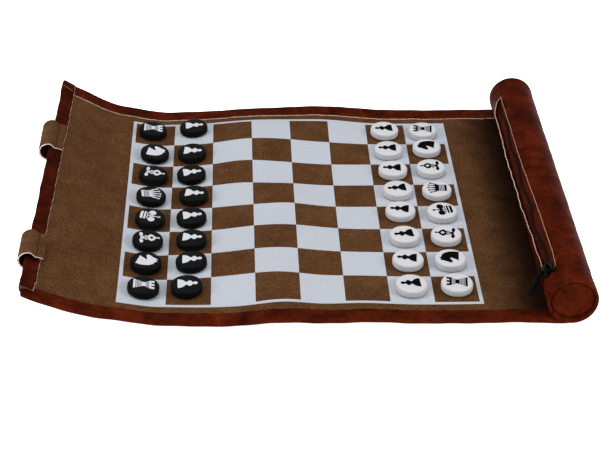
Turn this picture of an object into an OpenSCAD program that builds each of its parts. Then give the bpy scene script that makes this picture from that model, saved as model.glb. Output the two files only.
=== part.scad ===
// Roll-up travel chess set: a wavy leather mat with a printed board, thirty-two flat pieces,
// a zip pouch sewn along one end and two snap straps on the other.
// Units are millimetres. +Z is up, +X runs from the strap end to the pouch, +Y is the far edge.

/* [Board] */
// side of one square
square = 27; // [20:0.5:40]
// width of the printed border line around the squares
border_w = 2.6; // [1:0.1:6]
// thickness of the printed layer
print_t = 0.15; // [0.1:0.05:0.5]

/* [Mat] */
// overall width of the mat, along the pouch
mat_w = 254; // [200:1:300]
// distance from the board centre to the strap end
mat_left = 165; // [150:1:190]
// thickness of the outer leather
leather_t = 1.4; // [0.8:0.1:2.5]
// thickness of the suede lining
lining_t = 1.0; // [0.5:0.1:2]
// width of the folded hem
hem_w = 10.6; // [8:0.2:20]
// width of the hem at the strap end
end_hem_w = 12; // [8:0.5:20]
// height of the wave across the board
wave_h = 4.6; // [0:0.1:8]
// height of the long low swell towards the pouch
swell_h = 0.9; // [0:0.1:3]
// bend of the curled strap end
curl = 0.0026; // [0:0.0002:0.005]
// slack between neighbouring mat sections
gap = 0.3; // [0.2:0.05:1]
// slack at the two folds of the strap end
flap_gap = 0.5; // [0.2:0.05:1]

/* [Pieces] */
// diameter of a piece
piece_d = 19.2; // [14:0.1:25]
// thickness of a piece
piece_t = 5.4; // [3:0.1:8]
// clearance under a piece
piece_gap = 0.3; // [0.2:0.05:1]
// how carelessly the pieces are set down, as a share
scatter = 1; // [0:0.1:1]

/* [Pouch] */
// distance from the board centre to the tube axis
tube_x = 160; // [150:1:180]
// outside radius of the tube
tube_r = 15.2; // [12:0.1:22]
// angle of the near lip of the slit, from +X up
slit_lo = 132; // [120:1:170]
// angle of the far lip of the slit
slit_hi = 174; // [150:1:200]
// length of the zip
zip_len = 214; // [150:1:240]
// how far the zip sits from the middle, towards the far side
zip_shift = -4; // [-10:0.5:10]
// diameter of a zip coil
coil_d = 1.4; // [1:0.1:3]
// thickness of a zip tape
tape_t = 0.6; // [0.3:0.1:1]
// length of the slider
slider_len = 9; // [6:0.5:14]
// length of the pull tab
pull_len = 15; // [8:0.5:25]

/* [Straps] */
// width of the strap at the far side
strap_far_w = 32; // [20:1:40]
// width of the strap at the near side
strap_near_w = 25; // [20:1:40]
// centre of the strap at the far side
strap_far_y = 52; // [20:1:90]
// centre of the strap at the near side
strap_near_y = -80; // [-100:1:-20]
// thickness of a strap
strap_t = 1.4; // [0.8:0.1:2.5]
// length of the free end under the mat
tail_len = 28; // [15:1:40]
// radius of the loop around the edge, on its inside
loop_r = 5.2; // [4:0.1:8]
// radius of a snap fastener
snap_r = 6; // [4:0.5:8]

/* [Hidden] */
$fn = 64;
eps = 0.06;
half_w = mat_w / 2;
board = 4 * square;
flat_a = -86;
flat_b = -70;
crest_x = -13.5;
crest_w = 58.5;
swell_w = 190;
fold_r = [118, 130, 142];
fold_l = [-118, -134];
hem_t = 1.2;
hem_lo = leather_t + lining_t + eps;
hem_hi = hem_lo + hem_t;
end_hem_hi = hem_lo + 1.3;
disc_lo = leather_t + lining_t + eps + print_t;
piece_r = piece_d / 2;
loop_x = -162.5;
loop_z = 26;
loop_o = loop_r + strap_t;
loop_m = loop_r + strap_t / 2;
tail_a = 248;
slit_mid = (slit_lo + slit_hi) / 2;
coil_r = 12.5;
coil_a = 14.5;
cap_y = 124.05;
slider_y = zip_shift - 100.5;
zip_far = zip_shift + zip_len / 2;
zip_near = zip_shift - zip_len / 2;
// how far each piece stands from the middle of its square, from the far row to the near row:
// dark back row, dark pawns, light pawns, light back row
set_down = [
    [[-2.5, 0], [0, -3.5], [0, -4.5], [-0.5, -4.5], [0, -4.5], [-0.5, -3], [-0.5, -1], [-1, -1]],
    [[0, 3.5], [-0.5, -2.5], [-0.5, -3], [1.5, -2.5], [0.5, -2.5], [1, -1.5], [1.5, 0], [-1, 1]],
    [[-1, 0], [-0.5, 0], [0.5, 0.5], [1.5, 1.5], [1, 2.5], [1, 0], [0.5, -0.5], [0, -1]],
    [[-1, -1], [-0.5, 2.5], [-0.5, 2], [0.5, 0.5], [1, 0.5], [0.5, 0], [0, -0.5], [1, 0]]
];
x_mid = (tube_x + tube_r + loop_x - loop_o) / 2;

// height of the mat's underside over the floor, at a distance x from the board centre
function bell(x) = abs(x - crest_x) < crest_w ? 0.5 + 0.5 * cos(180 * (x - crest_x) / crest_w) : 0;
function swell(x) = x > flat_b && x < flat_b + swell_w ? sin(180 * (x - flat_b) / swell_w) : 0;
function rise(t) = t > 0 ? 0.14 * t * t / (t + 8) + curl * t * t : 0;
function under(x) = wave_h * bell(x) + swell_h * swell(x) + rise(flat_a - x);
function slope(x) = (under(x + 0.5) - under(x - 0.5)) / 1;
function dip(x, d) = under(x + d) - under(x) - slope(x) * d;
function bow(x) = max([for (k = [-1:0.2:1]) dip(x, k * piece_r)]);

// a band that follows the mat between x0 and x1, from height lo to height hi over its underside
module band(x0, x1, lo, hi, y0, y1, step = 6)
{
    inner = [for (k = [floor(x0 / step) + 1:ceil(x1 / step) - 1]) k * step];
    xs = concat([x0], inner, [x1]);
    n = len(xs) - 1;
    low = [for (i = [0:n]) [xs[i], under(xs[i]) + lo]];
    top = [for (i = [n:-1:0]) [xs[i], under(xs[i]) + hi]];
    translate([0, y1, 0])
        rotate([90, 0, 0])
            linear_extrude(height = y1 - y0)
                polygon(concat(low, top));
}

// a slab across the width with any outline in X and Z
module across(y0, y1)
{
    translate([0, y1, 0])
        rotate([90, 0, 0])
            linear_extrude(height = y1 - y0)
                children();
}

// the outer leather with its two side hems folded over
module leather_run(x0, x1)
{
    band(x0, x1, 0, leather_t, -half_w, half_w);
    for (s = [0, 1])
        mirror([0, s, 0])
        {
            band(x0, x1, leather_t - 0.2, hem_hi, half_w - 1.3, half_w);
            band(x0, x1, hem_lo, hem_hi, half_w - hem_w, half_w);
        }
}

module lining_run(x0, x1)
{
    band(x0, x1, leather_t, leather_t + lining_t, -half_w + 1.4, half_w - 1.4);
}

// a sector of a ring between two radii and two angles
module ring_part(r0, r1, a0, a1)
{
    n = max(1, ceil((a1 - a0) / 60));
    big = r1 * 1.5;
    fan = [for (i = [0:n]) big * [cos(a0 + (a1 - a0) * i / n), sin(a0 + (a1 - a0) * i / n)]];
    intersection()
    {
        difference()
        {
            circle(r = r1);
            circle(r = r0);
        }
        polygon(concat([[0, 0]], fan));
    }
}

module at_tube()
{
    translate([tube_x, tube_r])
        children();
}

// local frame on the slit: X outward from the tube, Y along it
module at_slit(y)
{
    translate([tube_x, y, tube_r])
        rotate([0, -slit_mid, 0])
            children();
}

module piece_at(col, row)
{
    off = scatter * set_down[col > 2 ? col - 5 : col - 1][row - 1];
    x = (col - 4.5) * square + off[0];
    y = (4.5 - row) * square + off[1];
    z = under(x) + disc_lo + bow(x) + piece_gap;
    h = piece_t;
    r = piece_r;
    side = [[r - 1.1, 0], [r - 0.35, 0.35], [r, 1.1], [r, h - 1.1], [r - 0.35, h - 0.35], [r - 1.1, h]];
    translate([x, y, z])
        rotate([0, -atan(slope(x)), 0])
            rotate_extrude()
                polygon(concat([[0, 0]], side, [[0, h]]));
}

// ---- mat ----

module board_leather()
{
    color([0.24, 0.08, 0.05])
        leather_run(fold_l[0] + flap_gap / 2, fold_r[0] - gap / 2);
}

module board_lining()
{
    color([0.38, 0.26, 0.17])
        lining_run(fold_l[0] + flap_gap / 2, fold_r[0] - gap / 2);
}

module board_print()
{
    lo = leather_t + lining_t + eps;
    hi = lo + print_t;
    s = square - 0.1;
    color([0.77, 0.79, 0.83])
    {
        for (c = [0:7], r = [0:7])
            if ((c + r) % 2 == 0)
                translate([0, (r - 4) * square + 0.05, 0])
                    band((c - 4) * square + 0.05, (c - 4) * square + 0.05 + s, lo, hi, 0, s);
        for (m = [0, 1])
            mirror([0, m, 0])
                band(-board - border_w, board + border_w, lo, hi, board + 0.05, board + border_w);
        band(-board - border_w, -board - 0.05, lo, hi, -board, board);
        band(board + 0.05, board + border_w, lo, hi, -board, board);
    }
}

module snap_studs()
{
    sx = -46;
    color([0.72, 0.6, 0.35])
        for (sy = [strap_far_y, strap_near_y])
            translate([sx, sy, 0.35])
            {
                cylinder(r = 4.2, h = under(sx) - 0.15);
                cylinder(r = 2.2, h = under(sx) + 0.4);
            }
}

module left_leather()
{
    color([0.24, 0.08, 0.05])
        leather_run(fold_l[1] + flap_gap / 2, fold_l[0] - flap_gap / 2);
}

module left_lining()
{
    color([0.38, 0.26, 0.17])
        lining_run(fold_l[1] + flap_gap / 2, fold_l[0] - flap_gap / 2);
}

module flap_leather()
{
    hx = -mat_left + end_hem_w + 0.1;
    color([0.24, 0.08, 0.05])
    {
        band(-mat_left, fold_l[1] - flap_gap / 2, 0, leather_t, -half_w, half_w);
        for (s = [0, 1])
            mirror([0, s, 0])
            {
                band(hx, fold_l[1] - flap_gap / 2, leather_t - 0.2, hem_hi, half_w - 1.3, half_w);
                band(hx, fold_l[1] - flap_gap / 2, hem_lo, hem_hi, half_w - hem_w, half_w);
            }
    }
}

module flap_lining()
{
    color([0.38, 0.26, 0.17])
        lining_run(-mat_left + 1.4, fold_l[1] - flap_gap / 2);
}

module flap_hem()
{
    color([0.3, 0.08, 0.05])
    {
        band(-mat_left, -mat_left + 1.3, leather_t + eps, end_hem_hi, -half_w, half_w);
        band(-mat_left, -mat_left + end_hem_w, hem_lo, end_hem_hi, -half_w, half_w);
    }
}

module left_edge_straps()
{
    ax = -157.6;
    az = under(ax - 0.4) + end_hem_hi;
    a45 = [loop_x + loop_o * cos(48), loop_z + loop_o * sin(48)];
    i45 = [loop_x + loop_r * cos(48), loop_z + loop_r * sin(48)];
    ex = -mat_left + end_hem_w - 0.6;
    ez = under(ex) + end_hem_hi;
    up = strap_t + 0.2;
    for (s = [[strap_far_y, strap_far_w], [strap_near_y, strap_near_w]])
        across(s[0] - s[1] / 2, s[0] + s[1] / 2)
        {
            translate([loop_x, loop_z])
                ring_part(loop_r, loop_o, 46, 189);
            polygon([
                i45, [ax - 0.4, az + 0.2], [ex, ez + 0.2],
                [ex, ez + up], [ax + 0.8, az + up - 0.3], a45
            ]);
        }
}

module strap_loops()
{
    color([0.5, 0.38, 0.29])
        left_edge_straps();
}

module strap_tail(y, w)
{
    e = [loop_x + loop_m * cos(tail_a), loop_z + loop_m * sin(tail_a)];
    across(y - w / 2, y + w / 2)
    {
        translate([loop_x, loop_z])
            ring_part(loop_r, loop_o, 193, tail_a + 0.5);
        translate(e)
            rotate(tail_a + 90)
                translate([0, -strap_t / 2])
                    square([tail_len, strap_t]);
    }
}

module snap_cap(y)
{
    e = [loop_x + loop_m * cos(tail_a), loop_z + loop_m * sin(tail_a)];
    translate([e[0], y, e[1]])
        rotate([0, -tail_a - 90, 0])
            translate([tail_len - 9, 0, 0])
            {
                translate([0, 0, strap_t / 2])
                {
                    cylinder(r = snap_r, h = 0.5);
                    translate([0, 0, 0.5])
                        cylinder(r1 = snap_r, r2 = snap_r - 2.5, h = 0.6);
                }
                translate([0, 0, -strap_t / 2 - 1.6])
                    difference()
                    {
                        cylinder(r = snap_r - 1, h = 1.6);
                        translate([0, 0, -1])
                            cylinder(r = 2.6, h = 2);
                    }
            }
}

module strap_far()
{
    color([0.5, 0.38, 0.29])
        strap_tail(strap_far_y, strap_far_w);
}

module strap_near()
{
    color([0.5, 0.38, 0.29])
        strap_tail(strap_near_y, strap_near_w);
}

module snap_cap_far()
{
    color([0.72, 0.6, 0.35])
        snap_cap(strap_far_y);
}

module snap_cap_near()
{
    color([0.72, 0.6, 0.35])
        snap_cap(strap_near_y);
}

module right_a_leather()
{
    color([0.24, 0.08, 0.05])
        leather_run(fold_r[0] + gap / 2, fold_r[1] - gap / 2);
}

module right_a_lining()
{
    color([0.38, 0.26, 0.17])
        lining_run(fold_r[0] + gap / 2, fold_r[1] - gap / 2);
}

module right_b_leather()
{
    color([0.24, 0.08, 0.05])
        leather_run(fold_r[1] + gap / 2, fold_r[2] - gap / 2);
}

module right_b_lining()
{
    color([0.38, 0.26, 0.17])
        lining_run(fold_r[1] + gap / 2, fold_r[2] - gap / 2);
}

// ---- pouch ----

module slit_end(y0, y1)
{
    across(y0, y1)
        at_tube()
            ring_part(tube_r - leather_t, tube_r, slit_lo - 2, slit_hi + 2);
}

module pouch_shell()
{
    color([0.24, 0.08, 0.05])
        across(-cap_y + 0.05, cap_y - 0.05)
        {
            at_tube()
                ring_part(tube_r - leather_t, tube_r, slit_hi, 360 + slit_lo);
            translate([fold_r[2] + gap / 2, 0])
                square([tube_x - fold_r[2] - 2, leather_t]);
        }
    color([0.24, 0.08, 0.05])
    {
        slit_end(zip_far + 1.9, cap_y - 0.05);
        slit_end(-cap_y + 0.05, zip_near - 1.9);
    }
}

module pouch_lining()
{
    in_r = tube_r - leather_t;
    color([0.38, 0.26, 0.17])
        across(-cap_y + 0.1, cap_y - 0.1)
            at_tube()
                ring_part(in_r - 0.85, in_r - 0.05, slit_hi + 2, 360 + slit_lo - 2);
}

module pouch_hems()
{
    color([0.3, 0.08, 0.05])
        across(zip_near, zip_far)
            at_tube()
            {
                ring_part(tube_r + 0.04, tube_r + 1.1, slit_lo - 7, slit_lo);
                ring_part(tube_r + 0.04, tube_r + 1.4, slit_hi, slit_hi + 8);
            }
}

module end_cap()
{
    translate([tube_x, cap_y, tube_r])
        rotate([-90, 0, 0])
        {
            cylinder(r = 14.7, h = 1.2);
            difference()
            {
                cylinder(r = 14.7, h = half_w - cap_y);
                translate([0, 0, -1])
                    cylinder(r = 13, h = half_w - cap_y + 2);
            }
        }
}

module far_end_cap()
{
    color([0.22, 0.08, 0.05])
        end_cap();
}

module near_end_cap()
{
    color([0.22, 0.08, 0.05])
        mirror([0, 1, 0])
            end_cap();
}

module zip_tapes()
{
    color([0.12, 0.08, 0.06])
        across(zip_near, zip_far)
            at_tube()
            {
                ring_part(coil_r - tape_t / 2, coil_r + tape_t / 2, slit_lo - 9, slit_mid - coil_a - 3.6);
                ring_part(coil_r - tape_t / 2, coil_r + tape_t / 2, slit_mid + coil_a + 3.6, slit_hi + 9);
            }
}

module zip_coils()
{
    color([0.1, 0.07, 0.06])
    {
        for (s = [-1, 1])
            at_slit(zip_far)
                rotate([0, -s * coil_a, 0])
                    translate([coil_r, 0, 0])
                        rotate([90, 0, 0])
                            cylinder(d = coil_d, h = zip_len);
        zip_stops();
    }
}

// one stop across the closed end, and one on each coil at the open end
module zip_stops()
{
    at_slit(zip_far + 0.3)
        translate([coil_r - 1.2, 0, -3.6])
            cube([2.4, 1.4, 7.2]);
    for (s = [-1, 1])
        at_slit(zip_near - 1.7)
            rotate([0, -s * coil_a, 0])
                translate([coil_r - 1.1, 0, -0.7])
                    cube([2.2, 1.4, 1.4]);
}

module zip_slider()
{
    h = slider_len;
    color([0.04, 0.04, 0.04])
        at_slit(slider_y)
        {
            translate([13.7, -h / 2, -3.7])
                cube([1.3, h, 7.4]);
            translate([9.8, -h / 2, -3.5])
                cube([1.2, h, 7]);
            translate([10.3, -h / 2 + 0.6, -1.3])
                cube([4, 4, 2.6]);
            for (s = [-1, 1])
                translate([14.5, s * 3.1 - 0.6, -1.1])
                    cube([3.7, 1.2, 2.2]);
            translate([17.6, 3.1, 0])
                rotate([90, 0, 0])
                    cylinder(r = 0.6, h = 6.2);
        }
}

module at_pull()
{
    at_slit(slider_y)
        translate([17.6, 0, 0])
            rotate([0, slit_mid - 236, 0])
                children();
}

module pull_ring()
{
    color([0.05, 0.05, 0.05])
        at_pull()
            rotate([90, 0, 0])
                rotate_extrude()
                    translate([1.5, 0])
                        circle(r = 0.42);
}

module zip_pull()
{
    color([0.05, 0.05, 0.05])
        at_pull()
            translate([1.55, 0, -0.6])
                rotate([0, 0, -34])
                    linear_extrude(height = 1.2)
                        polygon([
                            [0.5, -1.4], [pull_len - 1.5, -2.9], [pull_len, -1.8],
                            [pull_len, 1.8], [pull_len - 1.5, 2.9], [0.5, 1.4]
                        ]);
}

// ---- pieces ----

module dark_rook_1()
{
    color([0.07, 0.07, 0.07])
        piece_at(1, 1);
}

module dark_knight_1()
{
    color([0.07, 0.07, 0.07])
        piece_at(1, 2);
}

module dark_bishop_1()
{
    color([0.07, 0.07, 0.07])
        piece_at(1, 3);
}

module dark_queen()
{
    color([0.07, 0.07, 0.07])
        piece_at(1, 4);
}

module dark_king()
{
    color([0.07, 0.07, 0.07])
        piece_at(1, 5);
}

module dark_bishop_2()
{
    color([0.07, 0.07, 0.07])
        piece_at(1, 6);
}

module dark_knight_2()
{
    color([0.07, 0.07, 0.07])
        piece_at(1, 7);
}

module dark_rook_2()
{
    color([0.07, 0.07, 0.07])
        piece_at(1, 8);
}

module dark_pawn_1()
{
    color([0.07, 0.07, 0.07])
        piece_at(2, 1);
}

module dark_pawn_2()
{
    color([0.07, 0.07, 0.07])
        piece_at(2, 2);
}

module dark_pawn_3()
{
    color([0.07, 0.07, 0.07])
        piece_at(2, 3);
}

module dark_pawn_4()
{
    color([0.07, 0.07, 0.07])
        piece_at(2, 4);
}

module dark_pawn_5()
{
    color([0.07, 0.07, 0.07])
        piece_at(2, 5);
}

module dark_pawn_6()
{
    color([0.07, 0.07, 0.07])
        piece_at(2, 6);
}

module dark_pawn_7()
{
    color([0.07, 0.07, 0.07])
        piece_at(2, 7);
}

module dark_pawn_8()
{
    color([0.07, 0.07, 0.07])
        piece_at(2, 8);
}

module light_rook_1()
{
    color([0.85, 0.85, 0.86])
        piece_at(8, 1);
}

module light_knight_1()
{
    color([0.85, 0.85, 0.86])
        piece_at(8, 2);
}

module light_bishop_1()
{
    color([0.85, 0.85, 0.86])
        piece_at(8, 3);
}

module light_queen()
{
    color([0.85, 0.85, 0.86])
        piece_at(8, 4);
}

module light_king()
{
    color([0.85, 0.85, 0.86])
        piece_at(8, 5);
}

module light_bishop_2()
{
    color([0.85, 0.85, 0.86])
        piece_at(8, 6);
}

module light_knight_2()
{
    color([0.85, 0.85, 0.86])
        piece_at(8, 7);
}

module light_rook_2()
{
    color([0.85, 0.85, 0.86])
        piece_at(8, 8);
}

module light_pawn_1()
{
    color([0.85, 0.85, 0.86])
        piece_at(7, 1);
}

module light_pawn_2()
{
    color([0.85, 0.85, 0.86])
        piece_at(7, 2);
}

module light_pawn_3()
{
    color([0.85, 0.85, 0.86])
        piece_at(7, 3);
}

module light_pawn_4()
{
    color([0.85, 0.85, 0.86])
        piece_at(7, 4);
}

module light_pawn_5()
{
    color([0.85, 0.85, 0.86])
        piece_at(7, 5);
}

module light_pawn_6()
{
    color([0.85, 0.85, 0.86])
        piece_at(7, 6);
}

module light_pawn_7()
{
    color([0.85, 0.85, 0.86])
        piece_at(7, 7);
}

module light_pawn_8()
{
    color([0.85, 0.85, 0.86])
        piece_at(7, 8);
}

// ---- assembly ----

module whole()
{
    board_leather();
    board_lining();
    board_print();
    snap_studs();
    left_leather();
    left_lining();
    flap_leather();
    flap_lining();
    flap_hem();
    strap_loops();
    strap_far();
    snap_cap_far();
    strap_near();
    snap_cap_near();
    right_a_leather();
    right_a_lining();
    right_b_leather();
    right_b_lining();
    pouch_shell();
    pouch_lining();
    pouch_hems();
    far_end_cap();
    near_end_cap();
    zip_tapes();
    zip_coils();
    zip_slider();
    pull_ring();
    zip_pull();
    dark_rook_1();
    dark_knight_1();
    dark_bishop_1();
    dark_queen();
    dark_king();
    dark_bishop_2();
    dark_knight_2();
    dark_rook_2();
    dark_pawn_1();
    dark_pawn_2();
    dark_pawn_3();
    dark_pawn_4();
    dark_pawn_5();
    dark_pawn_6();
    dark_pawn_7();
    dark_pawn_8();
    light_rook_1();
    light_knight_1();
    light_bishop_1();
    light_queen();
    light_king();
    light_bishop_2();
    light_knight_2();
    light_rook_2();
    light_pawn_1();
    light_pawn_2();
    light_pawn_3();
    light_pawn_4();
    light_pawn_5();
    light_pawn_6();
    light_pawn_7();
    light_pawn_8();
}

translate([-x_mid, 0, 0])
    whole();
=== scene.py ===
"""Roll-up travel chess set: a wavy leather mat with a printed board, flat pieces,
a zip pouch sewn along one end and two snap straps on the other."""

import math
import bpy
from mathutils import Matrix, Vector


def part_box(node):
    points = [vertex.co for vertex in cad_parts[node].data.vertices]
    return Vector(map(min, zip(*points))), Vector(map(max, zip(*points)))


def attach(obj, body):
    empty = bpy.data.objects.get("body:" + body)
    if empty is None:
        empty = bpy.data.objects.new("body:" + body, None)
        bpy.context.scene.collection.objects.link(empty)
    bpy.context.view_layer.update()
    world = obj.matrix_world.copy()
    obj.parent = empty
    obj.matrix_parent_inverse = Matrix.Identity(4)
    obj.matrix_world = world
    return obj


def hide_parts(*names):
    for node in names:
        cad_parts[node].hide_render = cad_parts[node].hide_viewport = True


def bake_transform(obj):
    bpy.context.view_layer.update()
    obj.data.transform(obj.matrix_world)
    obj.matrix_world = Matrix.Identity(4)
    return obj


bl_info = {
    "name": "Roll-up Chess Set",
    "version": (1, 0, 0),
    "blender": (4, 5, 0),
    "location": "View3D > Sidebar > Chess Set",
    "description": "Builds the leather mat, the printed board, the pieces, the zip pouch and the straps",
    "category": "Add Mesh",
}

import bmesh
import bpy
import numpy as np
from mathutils import Matrix, Vector

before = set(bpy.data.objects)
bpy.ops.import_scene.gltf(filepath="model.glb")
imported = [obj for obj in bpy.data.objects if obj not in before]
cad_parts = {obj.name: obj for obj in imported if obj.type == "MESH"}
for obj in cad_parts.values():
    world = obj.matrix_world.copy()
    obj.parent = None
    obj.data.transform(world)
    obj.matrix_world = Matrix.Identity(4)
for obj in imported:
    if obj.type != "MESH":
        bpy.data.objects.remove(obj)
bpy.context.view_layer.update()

MM = 0.001
CAP_LOW, CAP_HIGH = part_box("near_end_cap")
TUBE_X = 160.0  # the tube's axis, from the board's centre, in millimetres
SHIFT = TUBE_X - (CAP_LOW.x + CAP_HIGH.x) / 2 / MM  # the board's centre, from the frame's origin
TUBE_Z = (CAP_LOW.z + CAP_HIGH.z) / 2 / MM
HALF_W = -CAP_LOW.y / MM  # half the mat's width, out to the face of the near end cap
SKEW = 4.6  # how much further right the strap end stands at the far corner than at the near one
FOLD_R = 1.87  # radius of a folded hem, to its outside
HEM_TOP = 1.35  # height of a hem's top over the lining

ORDER = ("rook_1", "knight_1", "bishop_1", "queen", "king", "bishop_2", "knight_2", "rook_2")


# ---- sizes and colours a user would change ----


def length(name, description, default):
    return bpy.props.FloatProperty(name=name, description=description, default=default * MM, unit="LENGTH")


def angle(name, description, default):
    return bpy.props.FloatProperty(
        name=name, description=description, default=math.radians(default), subtype="ANGLE"
    )


def shade(name, description, default):
    return bpy.props.StringProperty(name=name, description=description, default=default)


class ChessMatSizes(bpy.types.PropertyGroup):
    square: length("Square", "Side of one square of the board", 27.0)
    border: length("Border line", "Width of the printed line round the squares", 2.3)
    leather: length("Leather", "Thickness of the outer leather", 1.4)
    lining: length("Lining", "Thickness of the suede lining", 1.0)
    hem: length("Side hem", "Width of the leather folded over the long edges", 10.6)
    end_hem: length("End hem", "Width of the leather folded over the strap end", 8.6)
    wave: bpy.props.FloatProperty(
        name="Wave",
        description="Height of the swells left by rolling, as a share",
        default=1.0,
        min=0.0,
        max=1.2,
    )
    strap: length("Strap", "Thickness of a strap", 1.4)


class ChessPieceSizes(bpy.types.PropertyGroup):
    radius: length("Radius", "Radius of a piece", 9.75)
    height: length("Height", "Thickness of a piece", 5.4)
    rounding: length("Rounding", "Radius of a piece's rounded edge", 1.5)
    turn: angle("Turn", "How far a piece is carelessly turned", 7.0)


class ChessPouchSizes(bpy.types.PropertyGroup):
    radius: length("Tube radius", "Outside radius of the pouch", 15.2)
    lip: length("Lip", "How far the raised lip stands out", 1.5)
    tooth: length("Tooth pitch", "Distance from one zip tooth to the next", 1.6)
    pull: length("Pull", "Length of the zip pull", 17.0)


class ChessColours(bpy.types.PropertyGroup):
    leather_dark: shade("Leather, dark", "Darker wax in the leather", "#230A04")
    leather_mid: shade("Leather", "Main colour of the leather", "#3E1206")
    leather_light: shade("Leather, pulled up", "Where the wax has pulled thin", "#581E0B")
    suede: shade("Suede", "Lining of the mat", "#4F331E")
    suede_light: shade("Suede, brushed", "Suede with its nap brushed up", "#604128")
    strap: shade("Strap suede", "Flesh side of the straps", "#50351F")
    edge: shade("Cut edge", "Raw edge of the leather", "#B9A693")
    print_ink: shade("Print", "Ink of the white squares", "#A0A4AC")
    white: shade("White pieces", "Moulded white plastic", "#B2B2B5")
    black: shade("Black pieces", "Moulded black plastic", "#0C0C0C")


class ChessStage(bpy.types.PropertyGroup):
    azimuth: angle("Azimuth", "Camera's direction round the set", -2.486)
    elevation: angle("Elevation", "Camera's height over the horizon", 33.005)
    roll: angle("Roll", "Camera's tilt about its own axis", 0.626)
    distance: length("Distance", "Camera's distance from its target", 1031.4)
    lens: bpy.props.FloatProperty(name="Lens", description="Focal length in millimetres", default=96.18)


GROUPS = {
    "chess_mat": ChessMatSizes,
    "chess_piece": ChessPieceSizes,
    "chess_pouch": ChessPouchSizes,
    "chess_colours": ChessColours,
    "chess_stage": ChessStage,
}


# ---- the mat's surface ----


def smooth(low, high, value):
    t = np.clip((value - low) / (high - low), 0, 1)
    return t * t * (3 - 2 * t)


# swells left in the leather by rolling it up: place (x, y), height and spread (x, y), in millimetres
SWELLS = (
    # the long crest that wanders across the board, from the near edge to the far one
    (-10, -105, 3.5, 20, 35),
    (-25, -75, 3.5, 35, 25),
    (-10, -35, 5.0, 30, 30),
    (-5, 10, 3.5, 20, 20),
    (-35, 55, 3.5, 20, 65),
    (-10, 85, 5.0, 25, 40),
    (25, 105, 3.5, 25, 30),
    # low swells beside it
    (35, -110, 2.0, 25, 50),
    (-60, 95, 2.0, 40, 30),
    (20, 140, 3.0, 45, 20),
    # the corners at the strap end: the near one lifts, the far one dips before it turns up
    (-100, -135, 2.5, 30, 35),
    (-130, 130, -3.0, 15, 35),
    (-170, 130, 2.0, 20, 25),
)


def under(x, y=0.0):
    """Height of the mat's underside over the floor, in millimetres, at a point of the board's plane."""
    x, y = np.asarray(x, float), np.asarray(y, float)
    share = bpy.context.scene.chess_mat.wave
    swell = sum(h * np.exp(-(((x - a) / s) ** 2) - ((y - b) / t) ** 2) for a, b, h, s, t in SWELLS)
    t = np.clip(-86 - x, 0, None)
    curl = 0.14 * t * t / (t + 8) + 0.0026 * t * t  # the strap end turns up
    corner = (0.98 + 0.01652 * y) * smooth(95, 165, -x)  # more so at the far corner
    calm = (1 - smooth(112, 140, x)) * (1 - 0.7 * smooth(105, 150, -x))
    return share * swell * calm + curl + corner


def ripple(a, b=0.0):
    """A slow uneven wander from -1 to 1, the same at every run."""
    return (np.sin(0.11 * a + 1.3 * b) + np.sin(0.23 * a + 2.1 + 0.7 * b) + np.sin(0.047 * a + 4.0)) / 3


def to_frame(points):
    """Millimetres from the board's centre to metres in the shared frame."""
    p = np.asarray(points, float).reshape(-1, 3).copy()
    p[:, 0] -= SHIFT
    return p * MM


# ---- mesh makers ----


def finish_mesh(obj, sharp=38):
    """Faces outwards, smooth, with real corners kept crisp."""
    bm = bmesh.new()
    bm.from_mesh(obj.data)
    bmesh.ops.remove_doubles(bm, verts=bm.verts, dist=1e-7)
    bmesh.ops.recalc_face_normals(bm, faces=bm.faces)
    for f in bm.faces:
        f.smooth = True
    bm.to_mesh(obj.data)
    bm.free()
    obj.data.set_sharp_from_angle(angle=math.radians(sharp))
    return obj


def new_piece(name, points, faces, finishes, indices=None):
    mesh = bpy.data.meshes.new(name)
    mesh.from_pydata([tuple(p) for p in to_frame(points)], [], faces)
    for f in finishes:
        mesh.materials.append(f)
    if indices is not None:
        mesh.polygons.foreach_set("material_index", indices)
    obj = bpy.data.objects.new(name, mesh)
    bpy.context.scene.collection.objects.link(obj)
    return finish_mesh(obj)


def swept(name, rings, finishes, side=None, ends=0):
    """A closed solid through equal rings of points. side gives the finish of each strip along the rings."""
    rings = np.asarray(rings, float)
    n, m = rings.shape[:2]
    faces, indices = [], []
    for i in range(n - 1):
        for j in range(m):
            k = (j + 1) % m
            faces.append((i * m + j, i * m + k, (i + 1) * m + k, (i + 1) * m + j))
            indices.append(side[j] if side is not None else 0)
    faces += [tuple(range(m)), tuple(reversed(range((n - 1) * m, n * m)))]
    indices += [ends, ends]
    return new_piece(name, rings.reshape(-1, 3), faces, finishes, indices)


def spun(profile, steps=40):
    """Points and faces of a profile of (radius, height) turned round Z.
    The profile starts and ends on the axis, or closes on itself."""
    closed = profile[0][0] > 1e-9
    points, faces = [], []
    for r, z in profile:
        for i in range(steps):
            a = 2 * math.pi * i / steps
            points.append((r * math.cos(a), r * math.sin(a), z))
    n = len(profile)
    for k in range(n if closed else n - 1):
        a, b = k * steps, ((k + 1) % n) * steps
        for i in range(steps):
            j = (i + 1) % steps
            quad = (a + i, a + j, b + j, b + i)
            if profile[k][0] < 1e-9:
                quad = (a, b + j, b + i)
            elif profile[(k + 1) % n][0] < 1e-9:
                quad = (a + i, a + j, b)
            faces.append(quad)
    used = sorted({v for f in faces for v in f})
    renumber = {v: i for i, v in enumerate(used)}
    return [points[v] for v in used], [tuple(renumber[v] for v in f) for f in faces]


def prism(outline, low, high):
    n = len(outline)
    points = [(x, y, z) for z in (low, high) for x, y in outline]
    faces = [tuple(range(n, 2 * n)), tuple(reversed(range(n)))]
    faces += [(i, (i + 1) % n, n + (i + 1) % n, n + i) for i in range(n)]
    return points, faces


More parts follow.
